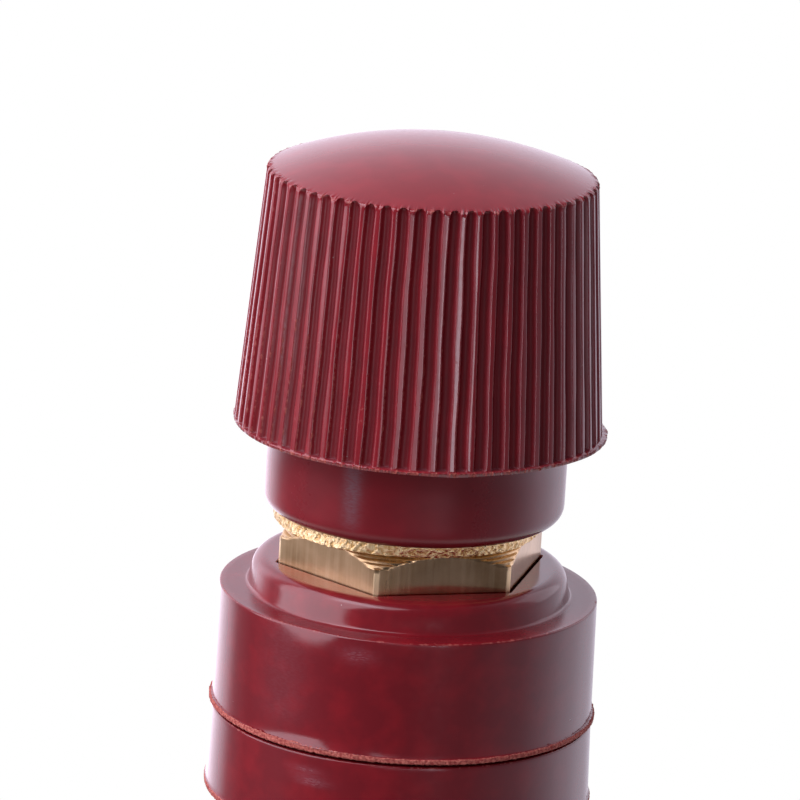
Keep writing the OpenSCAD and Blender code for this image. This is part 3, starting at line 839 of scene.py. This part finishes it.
light_oxblood = phenolic("moulded_phenolic_light", deep="#93212a", light="#9f232d")
turned_piece("knob", knob_theta + wobble, knob_r, knob_z, light_oxblood, "knob",
             marks={"torn_and_highlight": knob_torn_and_highlight, "scuff_and_highlight": knob_scuff_and_highlight, "dull_and_shade": knob_dull_and_shade})

# Studio
# A small white table under the stud and a white surround that is dark towards the camera. Five soft lamps:
# a large one on the left, one high at the front left, two low ones in front that the knob's ridges mirror,
# and a fill behind on the right.

FLOOR_R = 90 * MM
FLOOR_POINTS = 96
FLOOR_GAP = 0.3 * MM
floor_t = np.linspace(0, 2 * math.pi, FLOOR_POINTS, endpoint=False)
floor_z = np.full(FLOOR_POINTS, STUD_END * MM - FLOOR_GAP)
floor_ring = np.stack([FLOOR_R * np.cos(floor_t), FLOOR_R * np.sin(floor_t), floor_z], 1)
floor_mesh = bpy.data.meshes.new("floor")
floor_mesh.from_pydata(floor_ring.tolist(), [], [list(range(FLOOR_POINTS))])
floor = bpy.data.objects.new("floor", floor_mesh)
bpy.context.scene.collection.objects.link(floor)

# The table is white paper, which throws less light back at the object than the camera sees. Towards its rim
# it fades, for the camera and for reflections, into the white behind it.
pale, tree, shader = new_finish("white_paper", "#f2f2f2")
shader.inputs["Roughness"].default_value = 0.9
place = add_node(tree, "ShaderNodeTexCoord").outputs["Object"]
far = add_node(tree, "ShaderNodeVectorMath", {0: place}, operation="LENGTH")
fade = add_node(tree, "ShaderNodeMapRange",
                {"Value": far.outputs["Value"], "From Min": FLOOR_R / 2, "From Max": FLOOR_R})
ray = add_node(tree, "ShaderNodeLightPath").outputs
direct = add_node(tree, "ShaderNodeMath", {0: ray["Is Camera Ray"], 1: ray["Is Glossy Ray"]},
                  operation="MAXIMUM")
clear = add_node(tree, "ShaderNodeMath", {0: direct.outputs[0], 1: ray["Is Transmission Ray"]},
                 operation="MAXIMUM")
paper = add_node(tree, "ShaderNodeMix",
                 {0: clear.outputs[0], 6: srgb("#646464"), 7: srgb("#f2f2f2")}, data_type="RGBA")
tree.links.new(paper.outputs[2], shader.inputs["Base Color"])
share = add_node(tree, "ShaderNodeMath", {0: fade.outputs[0], 1: clear.outputs[0]}, operation="MULTIPLY")
glow = add_node(tree, "ShaderNodeEmission", {"Color": (1, 1, 1, 1), "Strength": 1.0})
blend = add_node(tree, "ShaderNodeMixShader",
                 {0: share.outputs[0], 1: shader.outputs[0], 2: glow.outputs[0]})
tree.links.new(blend.outputs[0], tree.nodes["Material Output"].inputs["Surface"])
floor_mesh.materials.append(pale)

# The surround: brightness by the angle from the front, in degrees to the right, for what lies below the
# object and for what lies beside and above it. The camera sees it plain white, reflections see it as it is,
# and as light on the object it counts for less, with a soft sky from the upper left added. All but the
# camera see it tinted a faint violet, as the lamps are.
TABLE_LEVEL = [(-180, 2.0), (-162, 2.3), (-150, 2.0), (-140, 1.55), (-133, 1.2), (-124, 0.35), (-107, 0.15),
               (-90, 0.2), (-76, 0.25), (-60, 0.14), (-42, 0.1), (0, 0.05), (41, 0.15), (77, 0.4),
               (112, 1.1), (135, 1.1), (152, 0.85), (180, 0.9)]
WALL_LEVEL = [(-180, 1.2), (-155, 1.4), (-142, 2.0), (-133, 1.8), (-124, 0.8), (-115, 0.3), (-84, 0.4),
              (-48, 0.12), (0, 0.05), (40, 0.1), (58, 0.13), (75, 0.2), (95, 0.42), (118, 0.8),
              (150, 1.0), (180, 1.2)]
SURROUND_LEVEL = 1.12
OVERHEAD_LEVEL = 0.45
AS_LIGHT = 0.165
SOFT_SKY = 0.6
SKY_TURN = math.radians(-40)
SKY_ASIDE = 0.42
SKY_UP = 0.91
world = bpy.data.worlds.new("studio")
bpy.context.scene.world = world
world.use_nodes = True
tree = world.node_tree
tree.nodes.clear()
facing = add_node(tree, "ShaderNodeTexCoord").outputs["Generated"]
axes = add_node(tree, "ShaderNodeSeparateXYZ", {0: facing})
ahead = add_node(tree, "ShaderNodeMath", {0: axes.outputs[1], 1: -1.0}, operation="MULTIPLY")
turn = add_node(tree, "ShaderNodeMath", {0: axes.outputs[0], 1: ahead.outputs[0]}, operation="ARCTAN2")
round_share = add_node(tree, "ShaderNodeMapRange",
                       {"Value": turn.outputs[0], "From Min": -math.pi, "From Max": math.pi})
by_angle = []
for levels in (TABLE_LEVEL, WALL_LEVEL):
    ramp = add_node(tree, "ShaderNodeValToRGB", {0: round_share.outputs[0]})
    stops = ramp.color_ramp.elements
    stops[0].color = (levels[0][1],) * 3 + (1,)
    stops[1].color = (levels[-1][1],) * 3 + (1,)
    for degrees, bright in levels[1:-1]:
        stops.new(degrees / 360 + 0.5).color = (bright,) * 3 + (1,)
    by_angle.append(ramp.outputs[0])
rising = add_node(tree, "ShaderNodeMapRange",
                  {"Value": axes.outputs[2], "From Min": -0.22, "From Max": -0.12})
walls = add_node(tree, "ShaderNodeMix",
                 {0: rising.outputs[0], 6: by_angle[0], 7: by_angle[1]}, data_type="RGBA")
overhead = add_node(tree, "ShaderNodeMapRange",
                    {"Value": axes.outputs[2], "From Min": 0.25, "From Max": 0.85,
                     "To Min": SURROUND_LEVEL, "To Max": OVERHEAD_LEVEL})
high_left = (math.sin(SKY_TURN) * SKY_ASIDE, -math.cos(SKY_TURN) * SKY_ASIDE, SKY_UP)
towards = add_node(tree, "ShaderNodeVectorMath", {0: facing, 1: high_left}, operation="DOT_PRODUCT")
lobe = add_node(tree, "ShaderNodeMath", {0: towards.outputs["Value"], 1: 0.0}, operation="MAXIMUM")
narrowed = add_node(tree, "ShaderNodeMath", {0: lobe.outputs[0], 1: 2.0}, operation="POWER")
bright = add_node(tree, "ShaderNodeMath", {0: walls.outputs[2], 1: overhead.outputs[0]},
                  operation="MULTIPLY")
ray = add_node(tree, "ShaderNodeLightPath").outputs
mirrored = add_node(tree, "ShaderNodeMath", {0: ray["Is Glossy Ray"], 1: ray["Is Transmission Ray"]},
                    operation="MAXIMUM")
sky = add_node(tree, "ShaderNodeMath", {0: narrowed.outputs[0], 1: SOFT_SKY}, operation="MULTIPLY")
dimmed = add_node(tree, "ShaderNodeMath", {0: bright.outputs[0], 1: AS_LIGHT, 2: sky.outputs[0]},
                  operation="MULTIPLY_ADD")
level = add_node(tree, "ShaderNodeMix",
                 {0: mirrored.outputs[0], 2: dimmed.outputs[0], 3: bright.outputs[0]}, data_type="FLOAT")
strength = add_node(tree, "ShaderNodeMix",
                    {0: ray["Is Camera Ray"], 2: level.outputs[0], 3: 1.0}, data_type="FLOAT")
tint = add_node(tree, "ShaderNodeMix",
                {0: ray["Is Camera Ray"], 6: srgb("#f6eeff"), 7: (1, 1, 1, 1)}, data_type="RGBA")
backdrop = add_node(tree, "ShaderNodeBackground",
                    {"Color": tint.outputs[2], "Strength": strength.outputs[0]})
add_node(tree, "ShaderNodeOutputWorld", {"Surface": backdrop.outputs[0]})

LAMP_COLOUR = (1.0, 0.94, 1.06)


def soft_lamp(name, turn, rise, away, size, watts):
    """Rectangular lamp that faces the object, at an angle from the front to the right, an angle above the
    panel's plane and a distance in metres. Its size is width and height."""
    lamp = bpy.data.lights.new(name, "AREA")
    lamp.shape = "RECTANGLE"
    lamp.size = size[0]
    lamp.size_y = size[1]
    lamp.energy = watts
    lamp.color = LAMP_COLOUR
    holder = bpy.data.objects.new(name, lamp)
    turn = math.radians(turn)
    rise = math.radians(rise)
    holder.location = (away * math.sin(turn) * math.cos(rise), -away * math.cos(turn) * math.cos(rise),
                       away * math.sin(rise))
    holder.rotation_euler = (math.pi / 2 - rise, 0, turn)
    bpy.context.scene.collection.objects.link(holder)


soft_lamp("key_left", turn=-74, rise=31, away=0.55, size=(0.68, 0.8), watts=3.9)
soft_lamp("key_top", turn=-42, rise=60, away=0.55, size=(0.4, 0.18), watts=0.42)
soft_lamp("front_glow", turn=7, rise=-2.6, away=0.6, size=(0.44, 0.08), watts=0.19)
soft_lamp("strip_right", turn=20, rise=-2.8, away=0.62, size=(0.12, 0.1), watts=0.11)
soft_lamp("fill_right", turn=125, rise=25, away=0.6, size=(0.4, 0.4), watts=0.3)

# Camera
# The place, turn and lens that lay the hexagon, rims and foot where the photograph has them: a long lens
# about half a metre away, looking down a little.

CAMERA_BACK = 454.49
CAMERA_UP = 148.71
PITCH = 0.26514
YAW = -0.00346
ROLL = 0.05961
LENS = 266.2
SENSOR = 36.0
ahead_v = np.array([math.sin(YAW) * math.cos(PITCH), math.cos(YAW) * math.cos(PITCH), -math.sin(PITCH)])
right_v = np.array([math.cos(YAW), -math.sin(YAW), 0.0])
up_v = np.cross(right_v, ahead_v)
eye = bpy.data.cameras.new("camera")
eye.lens = LENS
eye.sensor_width = SENSOR
eye.clip_start = 0.01
camera = bpy.data.objects.new("camera", eye)
pose = np.eye(4)
pose[:3, 0] = math.cos(ROLL) * right_v + math.sin(ROLL) * up_v
pose[:3, 1] = -math.sin(ROLL) * right_v + math.cos(ROLL) * up_v
pose[:3, 2] = -ahead_v
pose[:3, 3] = np.array([0.0, -CAMERA_BACK, CAMERA_UP]) * MM
camera.matrix_world = Matrix(pose.tolist())
bpy.context.scene.collection.objects.link(camera)
bpy.context.scene.camera = camera
bpy.context.scene.view_settings.view_transform = "Standard"
